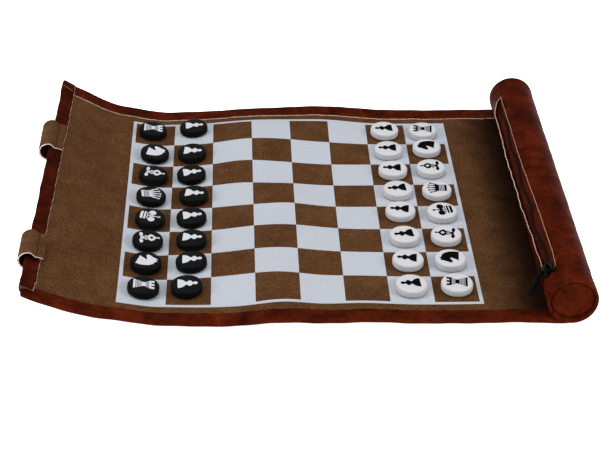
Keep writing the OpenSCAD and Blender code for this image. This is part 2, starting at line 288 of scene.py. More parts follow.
class Build:
    """Collects shapes, each with its finish, into one mesh."""

    def __init__(self):
        self.points, self.faces, self.indices = [], [], []

    def add(self, shape, finish=0, matrix=None):
        points, faces = shape
        base = len(self.points)
        if matrix is not None:
            points = [tuple(matrix @ Vector(p)) for p in points]
        self.points += points
        self.faces += [tuple(base + i for i in f) for f in faces]
        self.indices += [finish] * len(faces)
        return self

    def make(self, name, finishes):
        return new_piece(name, self.points, self.faces, finishes, self.indices)


def spline(points, steps=8):
    """A smooth open line through the points."""
    p = [np.asarray(q, float) for q in points]
    p = [2 * p[0] - p[1]] + p + [2 * p[-1] - p[-2]]
    out = []
    for i in range(1, len(p) - 2):
        for k in range(steps):
            t = k / steps
            out.append(
                0.5
                * (
                    2 * p[i]
                    + (p[i + 1] - p[i - 1]) * t
                    + (2 * p[i - 1] - 5 * p[i] + 4 * p[i + 1] - p[i + 2]) * t * t
                    + (3 * p[i] - p[i - 1] - 3 * p[i + 1] + p[i + 2]) * t**3
                )
            )
    out.append(p[-2])
    return np.array(out)


def tube_at(y, radius, degrees):
    a = np.radians(degrees)
    return (TUBE_X + radius * np.cos(a), y, TUBE_Z + radius * np.sin(a))


# ---- finishes ----


def linear(code):
    """An sRGB hex colour as linear RGBA."""
    c = [int(code[i : i + 2], 16) / 255 for i in (1, 3, 5)]
    return [v / 12.92 if v <= 0.04045 else ((v + 0.055) / 1.055) ** 2.4 for v in c] + [1.0]


def node(tree, kind, links=(), **settings):
    """Adds a node. settings are its own properties, inputs fills sockets, and links are (socket, source)."""
    made = tree.nodes.new(kind)
    inputs = settings.pop("inputs", {})
    for key, value in settings.items():
        setattr(made, key, value)
    for key, value in inputs.items():
        made.inputs[key].default_value = value
    for key, source in links:
        tree.links.new(source, made.inputs[key])
    return made


def finish(name, colour, roughness, specular=0.5, metallic=0.0, sheen=0.0):
    material = bpy.data.materials.new(name)
    material.use_nodes = True
    shader = material.node_tree.nodes["Principled BSDF"]
    shader.inputs["Base Color"].default_value = linear(colour)
    shader.inputs["Roughness"].default_value = roughness
    shader.inputs["Metallic"].default_value = metallic
    shader.inputs["Specular IOR Level"].default_value = specular
    shader.inputs["Sheen Weight"].default_value = sheen
    material.diffuse_color = linear(colour)
    return material, material.node_tree, shader


def noise(tree, coords, size_mm, detail=3.0, rough=0.55, distortion=0.0):
    """Noise whose blotches are about that many millimetres across."""
    return node(
        tree,
        "ShaderNodeTexNoise",
        [("Vector", coords)],
        inputs={"Scale": 1 / (size_mm * MM), "Detail": detail, "Roughness": rough, "Distortion": distortion},
    )


def ramp(tree, factor, stops):
    made = node(tree, "ShaderNodeValToRGB", [("Fac", factor)])
    e = made.color_ramp.elements
    while len(e) < len(stops):
        e.new(0.5)
    for element, (place, colour) in zip(e, stops):
        element.position, element.color = place, linear(colour)
    return made.outputs["Color"]


def bump(tree, shader, height, distance_mm, strength=1.0):
    made = node(
        tree,
        "ShaderNodeBump",
        [("Height", height)],
        inputs={"Strength": strength, "Distance": distance_mm * MM},
    )
    tree.links.new(made.outputs["Normal"], shader.inputs["Normal"])


def waxed_leather(name, dark, mid, light, gloss=0.42):
    """Waxed pull-up leather, cut from a hide and rolled smooth: clouded red-brown, with a low waxy shine
    that breaks up over fine grain and shallow creases."""
    m, tree, shader = finish(name, mid, gloss, 0.004)
    at = node(tree, "ShaderNodeTexCoord").outputs["Object"]
    cloud = noise(tree, at, 15, 6, 0.62, 0.4)
    base = ramp(tree, cloud.outputs["Fac"], [(0.3, dark), (0.5, mid), (0.74, light)])
    vein = noise(tree, at, 9, 3, 0.55, 1.1)
    lighter = node(tree, "ShaderNodeMix", data_type="RGBA")
    veins = ramp(tree, vein.outputs["Fac"], [(0.46, "#000000"), (0.5, "#6E6E6E"), (0.54, "#000000")])
    tree.links.new(veins, lighter.inputs["Factor"])
    tree.links.new(base, lighter.inputs["A"])
    lighter.inputs["B"].default_value = linear(light)
    crease = noise(tree, at, 3.6, 4, 0.62, 1.2)
    darker = node(tree, "ShaderNodeMix", data_type="RGBA", blend_type="MULTIPLY", inputs={"Factor": 0.45})
    tree.links.new(lighter.outputs["Result"], darker.inputs["A"])
    creases = ramp(tree, crease.outputs["Fac"], [(0.35, "#9A8A84"), (0.6, "#FFFFFF")])
    tree.links.new(creases, darker.inputs["B"])
    tree.links.new(darker.outputs["Result"], shader.inputs["Base Color"])
    rough = node(
        tree,
        "ShaderNodeMapRange",
        [("Value", crease.outputs["Fac"])],
        inputs={"From Min": 0.3, "From Max": 0.7, "To Min": gloss - 0.07, "To Max": gloss + 0.14},
    )
    tree.links.new(rough.outputs["Result"], shader.inputs["Roughness"])
    grain = noise(tree, at, 0.9, 2, 0.5)
    both = node(
        tree,
        "ShaderNodeMath",
        [(0, crease.outputs["Fac"]), (1, grain.outputs["Fac"]), (2, grain.outputs["Fac"])],
        operation="MULTIPLY_ADD",
    )
    bump(tree, shader, both.outputs["Value"], 0.22, 0.6)
    return m


def brushed_suede(name, dark, light, paint_tube_shade=False):
    """Split suede, sanded to a short nap: no shine, mottled where the nap lies either way, with a
    fine speckle. Where asked, the colour is darkened towards the pouch: painted shade of the tube."""
    m, tree, shader = finish(name, dark, 0.95, 0.03, sheen=0.03)
    shader.inputs["Sheen Roughness"].default_value = 0.6
    shader.inputs["Sheen Tint"].default_value = linear(light)
    at = node(tree, "ShaderNodeTexCoord").outputs["Object"]
    patch = noise(tree, at, 14, 3, 0.6)
    colour = ramp(tree, patch.outputs["Fac"], [(0.3, dark), (0.7, light)])
    speck = noise(tree, at, 0.75, 2, 0.7)
    fleck = node(tree, "ShaderNodeMix", data_type="RGBA", blend_type="MULTIPLY", inputs={"Factor": 1.0})
    tree.links.new(colour, fleck.inputs["A"])
    tree.links.new(ramp(tree, speck.outputs["Fac"], [(0.32, "#83776E"), (0.6, "#FFFFFF")]), fleck.inputs["B"])
    out = fleck.outputs["Result"]
    # painted shade: the suede is darkened by its place, with a ragged edge, where the tube would shade it
    if paint_tube_shade:
        place = node(tree, "ShaderNodeSeparateXYZ", [(0, at)])
        ragged = noise(tree, at, 9, 9, 0.88)
        edge = node(
            tree,
            "ShaderNodeMath",
            [(0, ragged.outputs["Fac"]), (2, place.outputs["X"])],
            operation="MULTIPLY_ADD",
            inputs={1: 0.022},
        )
        fold = node(
            tree,
            "ShaderNodeMapRange",
            [("Value", edge.outputs["Value"])],
            interpolation_type="SMOOTHSTEP",
            inputs={"From Min": 0.124, "From Max": 0.153, "To Min": 0.0, "To Max": 1.0},
        )
        painted_tube_shade = node(tree, "ShaderNodeMix", data_type="RGBA", blend_type="MULTIPLY")
        tree.links.new(fold.outputs["Result"], painted_tube_shade.inputs["Factor"])
        tree.links.new(out, painted_tube_shade.inputs["A"])
        # colour of the painted shade, multiplied into the suede
        painted_tube_shade.inputs["B"].default_value = linear("#6A5E58")
        out = painted_tube_shade.outputs["Result"]
    tree.links.new(out, shader.inputs["Base Color"])
    bump(tree, shader, speck.outputs["Fac"], 0.25, 0.7)
    return m


def screen_ink(name, colour):
    """Screen-print ink on suede: flat cool white, matt, with the nap's speckle just showing through."""
    m, tree, shader = finish(name, colour, 0.8, 0.15)
    at = node(tree, "ShaderNodeTexCoord").outputs["Object"]
    speck = noise(tree, at, 1.1, 2, 0.7)
    ink = ramp(tree, speck.outputs["Fac"], [(0.25, "#AEB1BA"), (0.5, colour)])
    tree.links.new(ink, shader.inputs["Base Color"])
    bump(tree, shader, speck.outputs["Fac"], 0.1, 0.4)
    return m


def moulded_plastic(name, colour, roughness, specular=0.5):
    """Injection-moulded ABS: even colour, satin, with the faint orange peel of a mould."""
    m, tree, shader = finish(name, colour, roughness, specular)
    at = node(tree, "ShaderNodeTexCoord").outputs["Object"]
    peel = noise(tree, at, 1.6, 2, 0.5)
    bump(tree, shader, peel.outputs["Fac"], 0.04, 0.5)
    return m


def cut_edge(name, colour):
    """Raw cut edge of vegetable-tanned leather: pale, fibrous, matt."""
    m, tree, shader = finish(name, colour, 0.9, 0.2)
    at = node(tree, "ShaderNodeTexCoord").outputs["Object"]
    fibre = noise(tree, at, 1.3, 3, 0.7)
    fibres = ramp(tree, fibre.outputs["Fac"], [(0.3, "#6E5440"), (0.55, colour)])
    tree.links.new(fibres, shader.inputs["Base Color"])
    return m


FINISHES = {}


def make_finishes():
    c = bpy.context.scene.chess_colours
    f = FINISHES
    f["leather"] = waxed_leather("waxed_leather", c.leather_dark, c.leather_mid, c.leather_light)
    f["hem"] = waxed_leather("waxed_leather_hem", "#200903", "#340E05", "#4C190A", 0.5)
    f["tape"] = waxed_leather("waxed_leather_facing", "#2E0E07", "#3F150B", "#4C1B0F", 0.6)
    # the board's lining carries painted shade, darkest beside the pouch's tube
    f["suede"] = brushed_suede("split_suede", c.suede, c.suede_light, True)
    f["strap"] = brushed_suede("strap_suede", c.strap, "#62452C")
    f["edge"] = cut_edge("cut_leather_edge", c.edge)
    f["pale_edge"] = cut_edge("cut_leather_edge_pale", "#D8C8BA")
    f["worn_edge"] = cut_edge("cut_leather_edge_worn", "#9C7857")
    f["ink"] = screen_ink("screen_print_ink", c.print_ink)
    f["white"] = moulded_plastic("moulded_abs_white", c.white, 0.45, 0.25)
    f["black"] = moulded_plastic("moulded_abs_black", c.black, 0.42, 0.03)
    f["white_mark"] = finish("pad_print_ink_white", "#B4B6BC", 0.6, 0.1)[0]
    f["black_mark"] = finish("pad_print_ink_black", "#0A0A0D", 0.7, 0.0)[0]
    # polyamide coil and enamelled zinc slider: nearly black, the slider with a hard gloss
    f["coil"] = finish("polyamide_zip_coil", "#1C0D08", 0.6, 0.05)[0]
    f["enamel"] = finish("black_enamelled_zinc", "#050506", 0.35, 0.04)[0]
    f["pull"] = moulded_plastic("moulded_rubber_pull", "#060607", 0.5, 0.03)
    # antique-plated brass: warm, dulled
    f["brass"] = finish("antique_brass", "#9C7F46", 0.38, 0.5, 1.0)[0]
    # waxed polyester thread, dark on the straps and tan on the hem
    f["thread"] = finish("waxed_thread_dark", "#2C1A10", 0.7, 0.3)[0]
    f["dark_thread"] = finish("waxed_thread_black", "#1A0F0A", 0.8, 0.1)[0]
    f["tan_thread"] = finish("waxed_thread_tan", "#9A7B5C", 0.7, 0.3)[0]
    f["pale_thread"] = finish("waxed_thread_pale", "#D8CDBD", 0.7, 0.3)[0]


# ---- pieces that repeat, made with Geometry Nodes ----


def row_tree():
    """Beads set along a line at an even pitch, each turned and scaled, made real and given a finish."""
    tree = bpy.data.node_groups.new("BeadsAlongLine", "GeometryNodeTree")
    face = tree.interface
    face.new_socket("Geometry", in_out="INPUT", socket_type="NodeSocketGeometry")
    for name, value in (("Pitch", 0.003), ("Long", 0.002), ("Wide", 0.0006), ("Tall", 0.0006), ("Turn", 0.0)):
        face.new_socket(name, in_out="INPUT", socket_type="NodeSocketFloat").default_value = value
    face.new_socket("Finish", in_out="INPUT", socket_type="NodeSocketMaterial")
    face.new_socket("Geometry", in_out="OUTPUT", socket_type="NodeSocketGeometry")
    start = node(tree, "NodeGroupInput").outputs
    line = node(tree, "GeometryNodeMeshToCurve", [("Mesh", start["Geometry"])])
    spots = node(
        tree,
        "GeometryNodeCurveToPoints",
        [("Curve", line.outputs["Curve"]), ("Length", start["Pitch"])],
        mode="LENGTH",
    )
    bead = node(tree, "GeometryNodeMeshUVSphere", inputs={"Segments": 8, "Rings": 5, "Radius": 0.5})
    size = node(
        tree, "ShaderNodeCombineXYZ", [("X", start["Wide"]), ("Y", start["Tall"]), ("Z", start["Long"])]
    )
    tilt = node(tree, "ShaderNodeCombineXYZ", [("Y", start["Turn"])])
    turned = node(
        tree,
        "FunctionNodeRotateRotation",
        [("Rotation", spots.outputs["Rotation"]), ("Rotate By", tilt.outputs["Vector"])],
        rotation_space="LOCAL",
    )
    put = node(
        tree,
        "GeometryNodeInstanceOnPoints",
        [
            ("Points", spots.outputs["Points"]),
            ("Instance", bead.outputs["Mesh"]),
            ("Rotation", turned.outputs["Rotation"]),
            ("Scale", size.outputs["Vector"]),
        ],
    )
    real = node(tree, "GeometryNodeRealizeInstances", [("Geometry", put.outputs["Instances"])])
    soft = node(tree, "GeometryNodeSetShadeSmooth", [("Geometry", real.outputs["Geometry"])])
    dyed = node(
        tree,
        "GeometryNodeSetMaterial",
        [("Geometry", soft.outputs["Geometry"]), ("Material", start["Finish"])],
    )
    node(tree, "NodeGroupOutput", [("Geometry", dyed.outputs["Geometry"])])
    return tree


def beads(name, lines, material, **sizes):
    """Runs the bead tree along lines given in millimetres, and returns plain mesh."""
    tree = bpy.data.node_groups.get("BeadsAlongLine") or row_tree()
    points, edges = [], []
    for line in lines:
        base = len(points)
        points += [tuple(p) for p in to_frame(line)]
        edges += [(base + i, base + i + 1) for i in range(len(line) - 1)]
    mesh = bpy.data.meshes.new(name + "_line")
    mesh.from_pydata(points, edges, [])
    carrier = bpy.data.objects.new(name + "_line", mesh)
    bpy.context.scene.collection.objects.link(carrier)
    live = carrier.modifiers.new("Beads", "NODES")
    live.node_group = tree
    sockets = {s.name: s.identifier for s in tree.interface.items_tree if s.in_out == "INPUT"}
    for key, value in sizes.items():
        live[sockets[key]] = float(value) if key == "Turn" else float(value) * MM
    live[sockets["Finish"]] = material
    bpy.context.view_layer.update()
    seen = carrier.evaluated_get(bpy.context.evaluated_depsgraph_get())
    plain = bpy.data.meshes.new_from_object(seen)
    bpy.data.objects.remove(carrier)
    if not plain.materials:
        plain.materials.append(material)
    plain.name = name
    obj = bpy.data.objects.new(name, plain)
    bpy.context.scene.collection.objects.link(obj)
    return obj


# ---- the mat ----

# sections of the mat from left to right: name, ends, and its body, with a second body where it spans a joint
SECTIONS = (
    ("flap", -163.4, -142.0, "end_flap", None),
    ("fold_2", -142.0, -126.0, "left_strip", "end_flap"),
    ("fold_1", -126.0, -112.0, "board", "left_strip"),
    ("board", -112.0, 112.0, "board", None),
    ("bend_1", 112.0, 124.0, "board", "right_strip_a"),
    ("bend_2", 124.0, 136.0, "right_strip_a", "right_strip_b"),
    ("bend_3", 136.0, 148.0, "right_strip_b", "pouch"),
    ("foot", 148.0, 158.0, "pouch", None),
)
STANDS_FOR = {
    "flap": ("flap_leather", "flap_lining"),
    "fold_1": ("left_leather", "left_lining"),
    "board": ("board_leather", "board_lining"),
    "bend_1": ("right_a_leather", "right_a_lining"),
    "bend_3": ("right_b_leather", "right_b_lining"),
}


def follow(obj, first, second):
    """Rides the first body when there is no second; a piece that spans two bodies is left in place on
    neither.
    """
    if second is None:
        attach(obj, first)
        return
    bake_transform(obj)


def stations(start, end, step):
    return np.linspace(start, end, max(2, int(round(abs(end - start) / step)) + 1))


def skewed(y):
    """How far the strap end stands to the right at a depth y."""
    return SKEW * (y / HALF_W + 1) / 2


def place_ring(x, loop):
    y, up = loop[:, 0], loop[:, 1]
    x = x + skewed(y) * smooth(126, 163, -x)
    return np.stack([x, y, under(x, y) + up], 1)


FAR_EDGE = 2.6  # how far the far edge stands out past the pouch's end


def leather_loop(x):
    """Outline of the leather across the mat: flat, with both edges folded over as hems."""
    mat = bpy.context.scene.chess_mat
    skin = mat.leather / MM
    top = skin + mat.lining / MM

    def edge(hem):
        cut = HALF_W - hem + 0.35 * ripple(x * 4)
        side = []
        for a in np.radians(range(-80, 81, 20)):
            side.append((HALF_W - 1.9 * (1 - math.cos(a)), FOLD_R * (1 + math.sin(a)), 0))
        for y in np.linspace(HALF_W - 2.2, cut + 0.7, 6):
            sag = 0.45 * (1 - (y - cut) / hem) ** 2
            side.append((y, top + 1.32 - sag + 0.06 * ripple(x * 3, y), 0))
        side += [(cut + 0.15, top + 0.72, 1), (cut, top + 0.1, 1), (cut + 0.6, top + 0.02, 0)]
        side += [(HALF_W - 3.0, top + 0.04, 0), (HALF_W - 2.1, top - 0.3, 0), (HALF_W - 2.0, skin + 0.3, 0)]
        return side + [(HALF_W - 2.6, skin, 0)]

    hem = mat.hem / MM
    bottom = [(y, 0.0, 0) for y in np.linspace(-HALF_W + 2.2, HALF_W - 2.2, 40)]
    inner = [(y, skin, 0) for y in np.linspace(HALF_W - 8, -HALF_W + 8, 26)]
    far = [(y + FAR_EDGE, up, i) for y, up, i in edge(hem + FAR_EDGE)]
    spread = 0.6 + 1.6 * smooth(128, 156, x)
    near = [(-y - spread, up, i) for y, up, i in reversed(edge(hem))]
    loop = bottom + far + inner + near
    wander = 0.4 * ripple(x * 1.5)
    pts = np.array([(y + (wander if abs(y) > 112 else 0), up) for y, up, _ in loop])
    marks = [i for _, _, i in loop]
    strips = [1 if marks[j] == 1 and marks[(j + 1) % len(marks)] == 1 else 0 for j in range(len(marks))]
    return pts, strips


LINING_INSET = 3.4  # from the mat's edge to the lining's edge, inside the fold of the hem


def lining_loop():
    mat = bpy.context.scene.chess_mat
    low = mat.leather / MM + 0.02
    high = low + mat.lining / MM - 0.02
    edge = HALF_W - LINING_INSET
    top = [(y, high) for y in np.linspace(edge, -edge, 110)]
    return np.array([(-edge, low), (-40, low), (40, low), (edge, low)] + top)


def make_mat():
    f = FINISHES
    for name, start, end, first, second in SECTIONS:
        xs = stations(start, end, 2.0)
        loops = [leather_loop(x) for x in xs]
        hide = swept(
            "mat_leather_" + name,
            [place_ring(x, loop[0]) for x, loop in zip(xs, loops)],
            [f["leather"], f["edge"]],
            loops[0][1],
        )
        loop = lining_loop()
        lining = swept("mat_lining_" + name, [place_ring(x, loop) for x in xs], [f["suede"]])
        if name in STANDS_FOR:
            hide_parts(STANDS_FOR[name][0])
            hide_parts(STANDS_FOR[name][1])
        for obj in (hide, lining):
            follow(obj, first, second)


def patch(x0, x1, y0, y1, low, high):
    """A thin slab that lies on the wave of the mat."""
    nx = max(2, int(math.ceil((x1 - x0) / 1.8)) + 1)
    ny = max(2, int(math.ceil((y1 - y0) / 2.3)) + 1)
    xs, ys = np.linspace(x0, x1, nx), np.linspace(y0, y1, ny)
    points, faces = [], []
    for level in (low, high):
        for x in xs:
            for y in ys:
                points.append((x, y, float(under(x, y)) + level))
    n = nx * ny

    def at(i, j, k):
        return k * n + i * ny + j

    for i in range(nx - 1):
        for j in range(ny - 1):
            faces.append((at(i, j, 1), at(i + 1, j, 1), at(i + 1, j + 1, 1), at(i, j + 1, 1)))
            faces.append((at(i, j, 0), at(i, j + 1, 0), at(i + 1, j + 1, 0), at(i + 1, j, 0)))
    for i in range(nx - 1):
        for j in (0, ny - 1):
            faces.append((at(i, j, 0), at(i + 1, j, 0), at(i + 1, j, 1), at(i, j, 1)))
    for j in range(ny - 1):
        for i in (0, nx - 1):
            faces.append((at(i, j, 0), at(i, j + 1, 0), at(i, j + 1, 1), at(i, j, 1)))
    return points, faces


def make_print():
    mat = bpy.context.scene.chess_mat
    side, line = mat.square / MM, mat.border / MM
    low = mat.leather / MM + mat.lining / MM - 0.02
    high = low + 0.2
    half = 4 * side
    ink = Build()
    for column in range(8):
        for row in range(8):
            if (column + row) % 2 == 0:
                x, y = (column - 4) * side, (row - 4) * side
                ink.add(patch(x + 0.02, x + side - 0.02, y + 0.02, y + side - 0.02, low, high))
    out = half + line
    ink.add(patch(-out, out, half + 0.02, out, low, high))
    ink.add(patch(-out, out, -out, -half - 0.02, low, high))
    ink.add(patch(-out, -half - 0.02, -half, half, low, high))
    ink.add(patch(half + 0.02, out, -half, half, low, high))
    obj = ink.make("printed_squares", [FINISHES["ink"]])
    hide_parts("board_print")
    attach(obj, "board")


CUT_END = -123.6  # where the near end of the strap end's hem is cut off


def end_hem_ring(y):
    """Section of the hem at the strap end: leather folded up over the edge and laid on the lining."""
    mat = bpy.context.scene.chess_mat
    left, wide = -165.0 + skewed(y), mat.end_hem / MM
    top = mat.leather / MM + mat.lining / MM
    lift = 1.25 * (smooth(111.5, 114.5, y) * smooth(-130.2, -124, -y) + smooth(111.5, 114.5, -y))
    lift = lift + 1.1 * smooth(-117, CUT_END, y)
    edge = left + wide + 0.35 * ripple(y * 3)
    out = left + 0.35 * ripple(y * 1.3)
    shape = [(out + 3.2, 0.02)]
    for a in np.radians(range(-80, 81, 20)):
        tall = FOLD_R + lift / 2
        shape.append((out + 1.9 * (1 - math.cos(a)), 1.9 + lift / 2 + tall * math.sin(a)))
    for x in np.linspace(out + 2.4, edge - 0.5, 6):
        t = (x - out) / wide
        shape.append((x, top + HEM_TOP + lift - 0.3 * t * t))
    shape += [(edge - 0.05, top + 0.75 + lift), (edge, top + 0.1 + lift), (edge - 0.6, top + 0.03 + lift)]
    shape += [(out + 3.4, top + 0.05 + lift), (out + 2.4, top - 0.2), (out + 2.3, 1.2), (out + 3.2, 1.0)]
    marks = [0] * 16 + [1, 1] + [0] * (len(shape) - 18)
    ring = np.array([(x, y, float(under(x, y)) + up) for x, up in shape])
    return ring, marks


def make_end_hem():
    f = FINISHES
    spans = ((CUT_END, -110, 12), (-108, 110, 90), (111, 129.4, 16))
    ys = np.concatenate([np.linspace(*span) for span in spans])
    rings = [end_hem_ring(y) for y in ys]
    obj = swept("end_hem", [r for r, _ in rings], [f["hem"], f["edge"], f["strap"]], rings[0][1], ends=2)
    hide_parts("flap_hem")
    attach(obj, "end_flap")
    corner = [
        (x, 119.5 - 0.3 * (x + 158), float(under(x, 119.5)) + 4.98)
        for x in np.linspace(-160.5, -153.5, 9)
    ]
    thread = beads("corner_stitches", [corner], f["tan_thread"], Pitch=1.9, Long=1.3, Wide=0.5, Tall=0.35)
    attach(thread, "end_flap")


# ---- straps ----


def strap_line():
    """Middle line of a strap in X and Z: sewn end, pressed groove, loop round the edge, free end."""
    mat = bpy.context.scene.chess_mat
    top = mat.leather / MM + mat.lining / MM + HEM_TOP
    half = mat.strap / MM / 2

    def on_hem(x, up):
        return (x, float(under(x)) + top + half + up)

    def round_edge(a, r=5.9):
        return (-162.5 + r * math.cos(math.radians(a)), 26.0 + r * math.sin(math.radians(a)))

    sewn = ((-153.2, 1.7), (-155.0, 1.6), (-156.8, 1.3), (-157.8, 0.9), (-158.9, 1.4))
    points = [on_hem(x, up) for x, up in sewn]
    points += [round_edge(a) for a in (72, 95, 120, 145, 170, 195, 220, 242)]
    end = round_edge(248)
    slope = math.radians(-22)
    points += [(end[0] + run * math.cos(slope), end[1] + run * math.sin(slope)) for run in (3, 10, 18, 28)]
    return spline(points, 6)


def thick_line(line, thickness, shrink=0.0):
    """A closed outline round an open line in X and Z."""
    d = np.gradient(line, axis=0)
    d /= np.linalg.norm(d, axis=1)[:, None]
    normal = np.stack([d[:, 1], -d[:, 0]], 1)
    half = thickness / 2 - shrink
    return np.concatenate([line + normal * half, (line - normal * half)[::-1]])


def make_straps():
    f = FINISHES
    thickness = bpy.context.scene.chess_mat.strap / MM
    line = strap_line()
    n = len(line)
    for name in ("far", "near"):
        low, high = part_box("strap_" + name)
        y0, y1 = low.y / MM, high.y / MM
        rings = []
        for y in [y0, y0 + 0.3, *np.linspace(y0 + 2, y1 - 2, 8), y1 - 0.3, y1]:
            flat = thick_line(line, thickness, 0.36 if y in (y0, y1) else 0.0)
            rings.append([(x, y, z + 0.1 * float(ripple(y * 6, x))) for x, z in flat])
        # the first side of the outline faces out and the second faces the mat
        side = [0] * (n - 1) + [2] + [1] * (n - 1) + [2]
        finishes = [f["strap"], f["leather"], f["pale_edge"]]
        obj = swept("strap_" + name + "_band", rings, finishes, side, ends=2)
        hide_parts("strap_" + name)
        if name == "far":
            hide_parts("strap_loops")
        start, end = to_frame([(-168.0, 0, 26.5), (-168.93, 0, 23.83)])
        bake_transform(obj)
        groove = [(-157.75, y, float(under(-157.75)) + 6.15) for y in np.linspace(y0 + 1.5, y1 - 1.5, 12)]
        stitches = "strap_" + name + "_stitches"
        thread = beads(stitches, [groove], f["dark_thread"], Pitch=2.6, Long=2.3, Wide=0.6, Tall=0.35)
        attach(thread, "end_flap")


def make_snaps():
    f = FINISHES
    for name in ("far", "near"):
        low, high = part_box("snap_cap_" + name)
        tilt = math.radians(22)
        middle = (low + high) / 2 / MM + Vector((SHIFT, 0, 0))
        place = Matrix.Translation(middle) @ Matrix.Rotation(tilt, 4, "Y")
        cap = Build()
        dome = [(0, 1.75), (2.5, 1.68), (4.4, 1.35), (5.5, 0.95), (5.95, 0.72), (5.8, 0.6), (0, 0.6)]
        cap.add(spun(dome, 32), 0, place)
        socket = [(2.7, -2.2), (3.1, -2.45), (4.3, -2.4), (4.9, -2.0), (5.0, -0.9), (2.7, -0.9)]
        cap.add(spun(socket, 32), 0, place)
        cap.add(spun([(0, -1.1), (2.75, -1.1), (2.75, -0.9), (0, -0.9)], 24), 0, place)
        obj = cap.make("snap_" + name, [f["brass"]])
        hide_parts("snap_cap_" + name)
        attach(obj, "strap_" + name)
    low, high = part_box("snap_studs")
    studs = Build()
    x = (low.x + high.x) / 2 / MM + SHIFT
    for y in (low.y / MM + 4.2, high.y / MM - 4.2):
        z = float(under(x, y))
        stud = [(0, -1.8), (1.6, -1.75), (2.1, -1.4), (1.9, -0.8), (2.4, -0.55)]
        stud += [(3.9, -0.5), (4.2, -0.25), (4.2, 0.3), (0, 0.3)]
        studs.add(spun(stud, 32), 0, Matrix.Translation((x, y, z)))
    obj = studs.make("snap_stud_pair", [f["brass"]])
    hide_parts("snap_studs")
    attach(obj, "board")


# ---- the chessmen ----


def symmetric(profile):
    """An outline from (along, half width) pairs, the same on both sides of the axis."""
    return [(u, w) for u, w in profile] + [(u, -w) for u, w in reversed(profile) if w > 0]


def bar(u0, u1, w0, w1=None):
    w1 = w0 if w1 is None else w1
    return [(u0, -w0), (u1, -w1), (u1, w1), (u0, w0)]


def disc(u, v, r, squeeze=1.0, steps=16):
    return [
        (u + r * squeeze * math.cos(2 * math.pi * i / steps), v + r * math.sin(2 * math.pi * i / steps))
        for i in range(steps)
    ]


def chessman(kind):
    """Printed outlines of a chessman, foot at -u, in millimetres: those in ink, those cut out of it."""
    if kind == "pawn":
        body = [(-5.3, 4.0), (-5.0, 4.4), (-4.2, 4.3), (-2.9, 3.9), (-1.7, 3.1), (-0.7, 1.9)]
        body += [(-0.1, 1.3), (0.5, 1.5), (1.2, 2.4), (2.1, 2.8), (3.0, 2.3), (3.6, 1.2), (4.2, 0.9)]
        body += [(5.0, 1.35), (5.8, 1.4), (6.5, 1.0), (6.9, 0)]
        return [symmetric(body)], []
    if kind == "rook":
        foot = [bar(-6.3, -4.9, 4.9, 4.5), bar(-4.5, -4.05, 4.2), bar(-3.65, -3.2, 3.8), bar(-2.8, -2.4, 3.4)]
        body = [bar(-2.0, -1.65, 3.0), symmetric([(-1.35, 2.6), (0.0, 2.0), (1.3, 2.4)])]
        head = [bar(1.65, 2.05, 3.0), bar(2.45, 2.9, 3.4), bar(3.3, 4.7, 4.1, 4.3)]
        head += [[(4.6, v), (6.5, v * 1.06), (6.5, v * 1.06 + 2), (4.6, v + 2)] for v in (-4.3, -1.0, 2.3)]
        return foot + body + head, []
    if kind == "knight":
        horse = [(-6.3, -4.8), (-3.4, -5.8), (-0.6, -6.0), (2.0, -5.5), (4.4, -4.0), (5.6, -1.4)]
        horse += [(6.9, -0.6), (6.0, 0.6), (7.0, 1.6), (5.9, 2.5), (4.7, 3.1), (2.6, 4.8), (0.9, 6.0)]
        horse += [(-0.3, 5.2), (-0.1, 3.6), (0.5, 0.9), (-0.1, 0.5), (-2.6, 2.6), (-4.2, 4.2)]
        return [horse], []
    if kind == "bishop":
        foot = [disc(-4.2, 3.6, 2.3, 0.5), disc(-4.5, -3.6, 2.3, 0.5)]
        foot += [bar(-4.8, -3.7, 3.0), bar(-3.9, -2.3, 1.3)]
        neck = [bar(-2.0, -1.5, 2.4), bar(-1.15, -0.65, 2.5), bar(-0.3, 0.1, 2.2)]
        hat = [(0.0, 1.9), (1.1, 3.3), (2.1, 3.7), (3.3, 3.0), (4.4, 1.6), (5.2, 0.6), (6.2, 0.4)]
        mitre = [symmetric(hat)]
        cross = [symmetric([(0.9, 0), (1.7, 0.8), (2.3, 1.5), (2.9, 0.8), (3.7, 0)])]
        return foot + neck + mitre + [disc(6.6, 0, 0.85)], cross
    if kind == "queen":
        foot = [bar(-6.5, -4.9, 3.5, 4.0), bar(-4.4, -3.9, 4.0), bar(-3.4, -2.9, 3.9), bar(-2.4, -1.9, 3.9)]
        crown = [symmetric([(-1.5, 3.8), (0.2, 4.1), (1.3, 4.3)])]
        tips = ((4.2, -5.7), (5.3, -3.0), (5.8, 0.0), (5.3, 3.0), (4.2, 5.7))
        crown += [[(0.2, v * 0.7 - 0.8), (u, v - 0.25), (u, v + 0.25), (0.2, v * 0.7 + 0.8)] for u, v in tips]
        return foot + crown + [disc(u, v, 0.8) for u, v in tips], []
    foot = [symmetric([(-6.6, 3.0), (-6.0, 4.2), (-4.9, 4.5)]), bar(-4.2, -3.0, 4.4), bar(-2.3, -1.7, 3.6)]
    lobes = [disc(0.9, 3.7, 2.7, 0.85), disc(0.9, -3.7, 2.7, 0.85), bar(-1.4, 2.6, 0.5, 0.7)]
    lobes += [[(-1.2, -2.6), (-0.6, -3.0), (2.6, 2.4), (2.0, 2.9)]]
    lobes += [[(-0.6, 3.0), (-1.2, 2.6), (2.0, -2.9), (2.6, -2.4)]]
    mast = [bar(2.4, 6.6, 0.35), disc(5.4, 0, 0.95)]
    return foot + lobes + mast, []


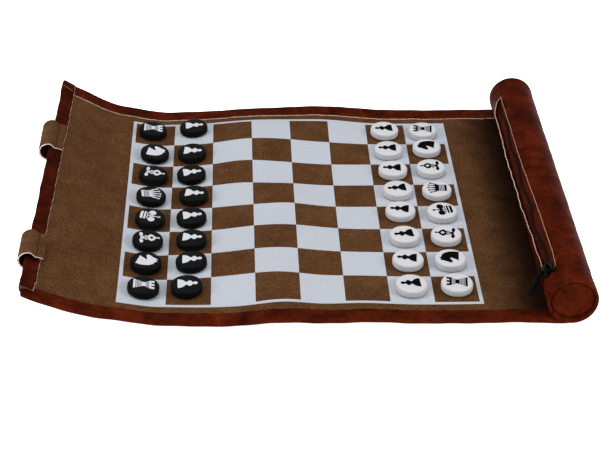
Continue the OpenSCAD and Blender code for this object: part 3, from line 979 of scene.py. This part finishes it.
def resting_on(x, y, reach):
    """The plane a flat piece rests on, over the mat's swells: its height at the middle, its slopes."""
    along = float(under(x + reach, y) - under(x - reach, y)) / (2 * reach)
    across = float(under(x, y + reach) - under(x, y - reach)) / (2 * reach)
    most = 0.0
    for k in range(24):
        for share in (0.4, 0.7, 1.0):
            a = math.radians(15 * k)
            dx, dy = share * reach * math.cos(a), share * reach * math.sin(a)
            most = max(most, float(under(x + dx, y + dy)) - float(under(x, y)) - along * dx - across * dy)
    return float(under(x, y)) + most, along, across


def make_pieces():
    f = FINISHES
    size = bpy.context.scene.chess_piece
    r, h, e = size.radius / MM, size.height / MM, size.rounding / MM
    arc = [(r - e + e * math.cos(math.radians(a)), e * math.sin(math.radians(a))) for a in range(-90, 1, 15)]
    profile = [(0, 0)] + [(q, e + z) for q, z in arc]
    profile += [(q, h - e - z) for q, z in reversed(arc)] + [(0, h + 0.06)]
    body = spun(profile, 48)
    mat = bpy.context.scene.chess_mat
    top = (mat.leather + mat.lining) / MM + 0.1
    for side, name in enumerate(("dark", "light")):
        for i, kind in enumerate(ORDER + tuple("pawn_%d" % k for k in range(1, 9))):
            node_name = name + "_" + kind
            low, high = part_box(node_name)
            middle = (low + high) / 2 / MM
            x, y = middle.x + SHIFT, middle.y
            height, along, across = resting_on(x, y, r - 0.4)
            z = height + top + 0.14
            turn = size.turn * math.sin(2.7 * i + 4.1 * side) + (math.pi if side else 0)
            place = Matrix.Translation((x, y, z)) @ Matrix.Rotation(-math.atan(along), 4, "Y")
            place = place @ Matrix.Rotation(math.atan(across), 4, "X") @ Matrix.Rotation(turn, 4, "Z")
            man = Build()
            man.add(body, 0, place)
            inked, cut = chessman(kind.split("_")[0])
            for outline in inked:
                man.add(prism(outline, h - 0.1, h + 0.09), 1, place)
            for outline in cut:
                man.add(prism(outline, h - 0.1, h + 0.12), 0, place)
            finishes = [f["white"], f["black_mark"]] if side else [f["black"], f["white_mark"]]
            obj = man.make(node_name + "_disc", finishes)
            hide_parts(node_name)
            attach(obj, node_name)


# ---- the pouch ----

SLIT_FAR, SLIT_NEAR = 106.5, -112.0


def right_lip(y):
    """Angle round the tube of the lip on the pouch's side, in degrees from +X upwards."""
    base = np.interp(y, [-112, -90, -30, 10, 60, 106], [125, 122, 127, 132.5, 134, 135.5])
    shut = float(smooth(-107, SLIT_NEAR, y))
    return float(base + 0.7 * ripple(y * 2.5)) * (1 - shut) + 139.5 * shut


def left_lip(y):
    at = [-106, -88, -70, -33, -13, 15, 40, 60, 90]
    base = np.interp(y, at, [156, 158, 162, 169, 171, 176, 174, 172, 171])
    shut = float(np.clip((y - 91) / 14.5, 0, 1)) ** 1.8
    near = float(smooth(-106, SLIT_NEAR, y))
    wave = 1.1 * float(ripple(y * 2.2, 1.0)) * (1 - shut) * (1 - near)
    return float((base * (1 - shut) + 136.2 * shut) * (1 - near) + 140.3 * near + wave)


def coil_angle(y):
    """The closed zip wanders between the lips, and leans to the pouch's side at the slider."""
    wander = 4.5 * math.sin(2 * math.pi * (y + 17) / 50)
    return float(150.5 + wander - 13 * smooth(70, 105, -y) - 9 * smooth(90, 107, y))


def soft_radius(y, a):
    r = bpy.context.scene.chess_pouch.radius / MM
    return r + 0.18 * float(ripple(y * 2.2, a / 25)) - 0.18


def pouch_ring(y, a0, a1, lip=0.0, steps=40):
    """Section of a leather wall from angle a0 to its lip at a1: outside, cut edge in two strips, inside."""
    step = 1.6 if a1 > a0 else -1.6
    angles = [*np.linspace(a0, a1 - step, steps - 1), a1]
    outer, inner = [], []
    for a in angles:
        r = soft_radius(y, a) + lip * math.exp(-(((a - a1) / 13) ** 2))
        outer.append(tube_at(y, r, a))
        inner.append(tube_at(y, r - 1.35, a))
    a, r = a1, soft_radius(y, a1) + lip
    return outer + [tube_at(y, r - 0.55, a)] + inner[::-1]


def make_pouch():
    f = FINISHES
    lip = bpy.context.scene.chess_pouch.lip / MM
    steps = 40
    spans = ((SLIT_NEAR, -104, 12), (-103, 89, 112), (90, SLIT_FAR, 30))
    ys = np.concatenate([np.linspace(*span) for span in spans])
    right, left = [], []
    for y in ys:
        a, b = right_lip(y), left_lip(y)
        parted = float(smooth(0, 12, b - a))
        right.append(pouch_ring(y, -100, a, 0.45 * parted, steps))
        left.append(pouch_ring(y, 245, b, lip * parted * (0.75 + 0.25 * float(ripple(y * 2))), steps))
    inside = [3] * (steps + 1)
    worn = [f["leather"], f["worn_edge"], f["worn_edge"], f["tape"]]
    pale = [f["leather"], f["pale_edge"], f["pale_edge"], f["tape"]]
    wall = swept("pouch_leather", right, worn, [0] * (steps - 2) + [1, 1] + inside)
    facing = swept("pouch_facing", left, pale, [0] * (steps - 1) + [1] + inside)
    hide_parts("pouch_shell", "pouch_lining")
    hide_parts("pouch_hems")
    for obj in (wall, facing):
        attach(obj, "pouch")
    for name, y0, y1 in (("near", -119.0, SLIT_NEAR + 0.1), ("far", SLIT_FAR - 0.1, 119.0)):
        rings = []
        for y in np.linspace(y0, y1, 9):
            angles = np.linspace(-100, 245, 90)
            rings.append(
                [tube_at(y, soft_radius(y, a), a) for a in angles]
                + [tube_at(y, soft_radius(y, a) - 1.35, a) for a in angles[::-1]]
            )
        sleeve = swept("pouch_sleeve_" + name, rings, [f["leather"]])
        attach(sleeve, "pouch")

    for name, sign in (("near", -1), ("far", 1)):
        # collar, rim turned in at the end, and the recessed round end
        collar = [(13.9, 118.4), (14.95, 118.4), (15.22, 118.7), (15.28, 124.6), (15.2, 126.2)]
        collar += [(14.9, 126.9), (14.3, 127.0), (13.7, 126.8), (13.3, 126.3), (13.15, 125.4)]
        collar += [(13.1, 123.8), (13.9, 123.6)]
        cap = [(0, 124.0), (12.85, 124.0), (12.85, 125.0), (12.7, 125.6), (12.1, 126.05)]
        cap += [(11.0, 126.15), (6.0, 126.35), (0, 126.4)]
        base = [(0, 122.6), (13.9, 122.6), (13.9, 123.9), (0, 123.9)]
        turn = Matrix.Translation((TUBE_X, 0, TUBE_Z)) @ Matrix.Rotation(math.radians(-90 * sign), 4, "X")
        made = Build()
        for shape in (collar, cap, base):
            made.add(spun(shape, 96), 0, turn)
        obj = made.make("pouch_end_" + name, [f["leather"]])
        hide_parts(name + "_end_cap")
        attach(obj, "pouch")

    roll = []
    for a in np.linspace(214, 378, 60):
        thin = 1 - 0.95 * float(smooth(300, 378, a))
        middle = 15.3 - 1.55 * thin
        ring = []
        for k in range(12):
            b = math.radians(30 * k)
            ring.append(tube_at(-126.6 - 2.2 * thin * math.cos(b), middle + 1.5 * thin * math.sin(b), a))
        roll.append(ring)
    obj = swept("pouch_edge_roll", roll, [f["leather"]])
    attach(obj, "pouch")

    loose = [
        [tube_at(-(119.6 + 0.9 * k), 15.5, a + 2 * k) for k in range(4)] for a in (150.0, 34.0)
    ] + [[tube_at(119.6 + 0.9 * k, 15.5, a + 2 * k) for k in range(4)] for a in (158.0, 30.0)]
    thread = beads("collar_stitches", loose, f["thread"], Pitch=1.6, Long=1.5, Wide=0.6, Tall=0.5)
    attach(thread, "pouch")
    bends = ((-126.9, 13.4, -36), (-127.3, 13.9, -37), (-127.4, 14.9, -38), (-126.9, 15.6, -40))
    tail = spline([tube_at(*bend) for bend in bends], 5)
    thread = beads("thread_end", [tail], f["pale_thread"], Pitch=0.5, Long=0.95, Wide=0.85, Tall=0.85)
    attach(thread, "pouch")


def make_zip():
    f = FINISHES
    tooth = bpy.context.scene.chess_pouch.tooth / MM
    ys = np.linspace(-110, 105.4, 130)
    for name, sign in (("left", 1), ("right", -1)):
        rings = []
        for y in ys:
            c = coil_angle(y) + sign * 1.6
            wall = (left_lip(y) if sign > 0 else right_lip(y)) + sign * 9
            sides = list(zip(np.linspace(wall, c, 8), np.linspace(13.75, 13.1, 8)))
            outer = [tube_at(y, r, a) for a, r in sides]
            inner = [tube_at(y, r - 0.5, a) for a, r in sides]
            rings.append(outer + inner[::-1])
        obj = swept("zip_tape_" + name, rings, [f["tape"]])
        if sign > 0:
            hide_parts("zip_tapes")
        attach(obj, "pouch")
    lines = []
    for s in (1, -1):
        along = np.linspace(-109 + s * tooth / 4, 104 + s * tooth / 4, 160)
        lines.append([tube_at(y, 13.25, coil_angle(y) + s * 2.3) for y in along])
    teeth = beads("zip_teeth", lines, f["coil"], Pitch=tooth / 1.35, Long=0.8, Wide=1.7, Tall=1.2)
    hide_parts("zip_coils")
    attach(teeth, "pouch")
    stop = Build()
    y = SLIT_FAR - 1.6
    a = math.radians(coil_angle(y))
    place = Matrix.Translation(tube_at(y, 13.3, math.degrees(a))) @ Matrix.Rotation(-a, 4, "Y")
    stop.add(prism([(-1, -0.8), (1, -0.8), (1, 0.8), (-1, 0.8)], -2.2, 2.2), 0, place)
    obj = stop.make("zip_stop", [f["enamel"]])
    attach(obj, "pouch")


def rounded(length_mm, width, corner, steps=5):
    """A rectangle with rounded corners, centred, as (x, y) points."""
    out = []
    x, y = length_mm / 2 - corner, width / 2 - corner
    for cx, cy, a0 in ((1, 1, 0), (-1, 1, 90), (-1, -1, 180), (1, -1, 270)):
        for k in range(steps + 1):
            a = math.radians(a0 + 90 * k / steps)
            out.append((cx * x + corner * math.cos(a), cy * y + corner * math.sin(a)))
    return out


def make_slider():
    f = FINISHES
    low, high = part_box("zip_slider")
    y = (low.y + high.y) / 2 / MM - 2.6
    a = 143.0
    # local axes: X along the zip, Y across it, Z out of the tube
    out = Vector((math.cos(math.radians(a)), 0, math.sin(math.radians(a))))
    across = Vector((-out.z, 0, out.x))
    base = Matrix.Identity(4)
    for i, axis in enumerate((Vector((0, 1, 0)), -across, out)):
        base.col[i][:3] = axis
    base.translation = Vector((TUBE_X, y, TUBE_Z))
    body = Build()
    plate = rounded(10.0, 9.4, 2.6)
    body.add(prism(plate, 15.75, 16.45), 0, base)
    body.add(prism(rounded(9.0, 8.4, 2.4), 16.45, 16.7), 0, base)
    body.add(prism(rounded(9.5, 6.6, 2.0), 10.9, 11.7), 0, base)
    body.add(prism(rounded(4.2, 1.8, 0.8), 11.5, 15.8), 0, base)
    bends = ((-3.6, 16.3), (-3.2, 17.9), (-1.4, 18.6), (1.4, 18.6), (3.2, 17.9), (3.6, 16.3))
    bridge = spline([(x, 0, z) for x, z in bends], 5)
    corners = ((-1, -1), (1, -1), (1, 1), (-1, 1))
    rings = []
    for p in bridge:
        rings.append([tuple(base @ Vector((p[0], w * 1.1, p[2] + t * 0.45))) for w, t in corners])
    m = 4
    points = [q for ring in rings for q in ring]
    faces = [
        (i * m + j, i * m + (j + 1) % m, (i + 1) * m + (j + 1) % m, (i + 1) * m + j)
        for i in range(len(rings) - 1)
        for j in range(m)
    ] + [tuple(range(m)), tuple(reversed(range((len(rings) - 1) * m, len(rings) * m)))]
    body.add((points, faces), 0)
    obj = body.make("slider_body", [f["enamel"]])
    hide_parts("zip_slider")
    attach(obj, "zip_slider")

    # the ring hangs in the bridge, and the pull hangs from the ring, down the side and a little forwards
    low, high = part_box("pull_ring")
    centre = (low + high) / 2 / MM
    centre.x += SHIFT
    turns = np.linspace(0, 2 * math.pi, 10, endpoint=False)
    ring = spun([(1.5 + 0.42 * math.cos(t), 0.42 * math.sin(t)) for t in turns], 24)
    loop = Build()
    loop.add(ring, 0, Matrix.Translation(centre) @ Matrix.Rotation(math.radians(90), 4, "X"))
    obj = loop.make("pull_loop", [f["enamel"]])
    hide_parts("pull_ring")
    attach(obj, "zip_pull")

    size = bpy.context.scene.chess_pouch.pull / MM
    down = math.radians(236)
    lead = Vector((math.cos(down), 0, math.sin(down)))
    skew = math.radians(34)
    along = lead * math.cos(skew) + Vector((0, -1, 0)) * math.sin(skew)
    wide = lead * -math.sin(skew) + Vector((0, -1, 0)) * math.cos(skew)
    face = along.cross(wide)
    place = Matrix.Identity(4)
    for i, axis in enumerate((along, wide, face)):
        place.col[i][:3] = axis
    place.translation = centre
    tab = [(1.1, 1.3), (2.6, 1.5), (4.0, 2.0), (size * 0.6, 2.4), (size * 0.85, 2.7)]
    tab += [(size * 0.95, 2.5), (size, 1.6), (size + 0.2, 0)]
    pull = Build()
    pull.add(prism(symmetric(tab), -0.75, 0.75), 0, place)
    inner = [(4.5, 0.6), (size * 0.6, 1.2), (size * 0.82, 1.4), (size * 0.88, 0.9), (size * 0.89, 0)]
    pull.add(prism(symmetric(inner), -1.1, 1.1), 0, place)
    obj = pull.make("pull_tab", [f["pull"]])
    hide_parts("zip_pull")
    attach(obj, "zip_pull")


# ---- stage ----


def make_stage():
    scene = bpy.context.scene
    s = scene.chess_stage
    a, e = s.azimuth, s.elevation
    back = Vector((math.sin(a) * math.cos(e), -math.cos(a) * math.cos(e), math.sin(e)))
    target = Vector((2.618 - SHIFT, -23.849, 4.526)) * MM
    data = bpy.data.cameras.new("camera")
    data.lens, data.sensor_width = s.lens, 36
    data.clip_start, data.clip_end = 0.01, 100
    camera = bpy.data.objects.new("camera", data)
    scene.collection.objects.link(camera)
    right = Vector((math.cos(a), math.sin(a), 0))
    up = back.cross(right)
    c, d = math.cos(s.roll), math.sin(s.roll)
    axes = (right * c + up * d, up * c - right * d, back)
    turn = Matrix.Identity(4)
    for i, axis in enumerate(axes):
        turn.col[i][:3] = axis
    turn.translation = target + back * s.distance
    camera.matrix_world = turn
    scene.camera = camera

    world = bpy.data.worlds.new("studio")
    world.use_nodes = True
    world.node_tree.nodes["Background"].inputs["Color"].default_value = (1.0, 1.0, 1.0, 1.0)
    world.node_tree.nodes["Background"].inputs["Strength"].default_value = 0.6
    scene.world = world
    scene.view_settings.view_transform = "Standard"

    def lamp(name, place, aim, size, power):
        light = bpy.data.lights.new(name, "AREA")
        light.shape, light.size, light.size_y = "RECTANGLE", size[0], size[1]
        light.energy = power
        obj = bpy.data.objects.new(name, light)
        obj.location = place
        obj.rotation_mode = "QUATERNION"
        obj.rotation_quaternion = (Vector(place) - Vector(aim)).to_track_quat("Z", "Y")
        scene.collection.objects.link(obj)

    lamp("softbox", (-0.2, 0.1, 1.5), (0, 0, 0), (0.8, 0.8), 10)
    lamp("left_strip_light", (-1.1, -0.45, 0.62), (0, 0, 0), (0.3, 0.5), 9.5)
    lamp("right_strip_light", (1.1, -0.45, 0.72), (0, 0, 0), (0.3, 0.5), 9.5)
    # the floor lies a little under the mat, so that the two don't share a plane
    size, level = 6.0, -0.0002
    corners = ((-size, -size), (size, -size), (size, size), (-size, size))
    mesh = bpy.data.meshes.new("floor")
    mesh.from_pydata([(x, y, level) for x, y in corners], [], [(0, 1, 2, 3)])
    white, _, glow = finish("backlit_white_acrylic", "#F4F4F4", 0.9, 0.1)
    glow.inputs["Emission Color"].default_value = (1.0, 1.0, 1.0, 1.0)
    glow.inputs["Emission Strength"].default_value = 1.0
    mesh.materials.append(white)
    floor = bpy.data.objects.new("floor", mesh)
    scene.collection.objects.link(floor)


# ---- operators ----


class CHESS_OT_stage(bpy.types.Operator):
    """Set up the camera, the lights and the floor"""

    bl_idname = "chess.stage"
    bl_label = "Stage"

    def execute(self, context):
        make_stage()
        make_finishes()
        return {"FINISHED"}


class CHESS_OT_mat(bpy.types.Operator):
    """Make the leather mat with its side hems and its suede lining"""

    bl_idname = "chess.mat"
    bl_label = "Mat"

    def execute(self, context):
        make_mat()
        return {"FINISHED"}


class CHESS_OT_print(bpy.types.Operator):
    """Print the white squares and the border on the lining"""

    bl_idname = "chess.print"
    bl_label = "Printed board"

    def execute(self, context):
        make_print()
        return {"FINISHED"}


class CHESS_OT_end_hem(bpy.types.Operator):
    """Fold and sew the hem at the strap end"""

    bl_idname = "chess.end_hem"
    bl_label = "End hem"

    def execute(self, context):
        make_end_hem()
        return {"FINISHED"}


class CHESS_OT_straps(bpy.types.Operator):
    """Make the two straps, their stitches and their snaps"""

    bl_idname = "chess.straps"
    bl_label = "Straps"

    def execute(self, context):
        make_straps()
        make_snaps()
        return {"FINISHED"}


class CHESS_OT_pieces(bpy.types.Operator):
    """Make the flat pieces with their printed chessmen"""

    bl_idname = "chess.pieces"
    bl_label = "Pieces"

    def execute(self, context):
        make_pieces()
        return {"FINISHED"}


class CHESS_OT_pouch(bpy.types.Operator):
    """Make the tube of the pouch, its lips and its round ends"""

    bl_idname = "chess.pouch"
    bl_label = "Pouch"

    def execute(self, context):
        make_pouch()
        return {"FINISHED"}


class CHESS_OT_zip(bpy.types.Operator):
    """Make the zip: tapes, teeth, slider and pull"""

    bl_idname = "chess.zip"
    bl_label = "Zip"

    def execute(self, context):
        make_zip()
        make_slider()
        return {"FINISHED"}


OPERATORS = (
    CHESS_OT_stage,
    CHESS_OT_mat,
    CHESS_OT_print,
    CHESS_OT_end_hem,
    CHESS_OT_straps,
    CHESS_OT_pieces,
    CHESS_OT_pouch,
    CHESS_OT_zip,
)


class CHESS_PT_panel(bpy.types.Panel):
    """Sizes, colours and build steps of the chess set"""

    bl_idname = "CHESS_PT_panel"
    bl_label = "Chess Set"
    bl_space_type = "VIEW_3D"
    bl_region_type = "UI"
    bl_category = "Chess Set"

    def draw(self, context):
        for name, group in GROUPS.items():
            box = self.layout.box()
            box.label(text=group.__name__)
            for key in group.__annotations__:
                box.prop(getattr(context.scene, name), key)
        for operator in OPERATORS:
            self.layout.operator(operator.bl_idname)


def register():
    for name, group in GROUPS.items():
        bpy.utils.register_class(group)
        setattr(bpy.types.Scene, name, bpy.props.PointerProperty(type=group))
    for cls in (*OPERATORS, CHESS_PT_panel):
        bpy.utils.register_class(cls)


def unregister():
    for cls in reversed((*OPERATORS, CHESS_PT_panel)):
        bpy.utils.unregister_class(cls)
    for name, group in reversed(tuple(GROUPS.items())):
        delattr(bpy.types.Scene, name)
        bpy.utils.unregister_class(group)


def main():
    register()
    for operator in OPERATORS:
        area, name = operator.bl_idname.split(".")
        getattr(getattr(bpy.ops, area), name)()


if __name__ == "__main__":
    main()
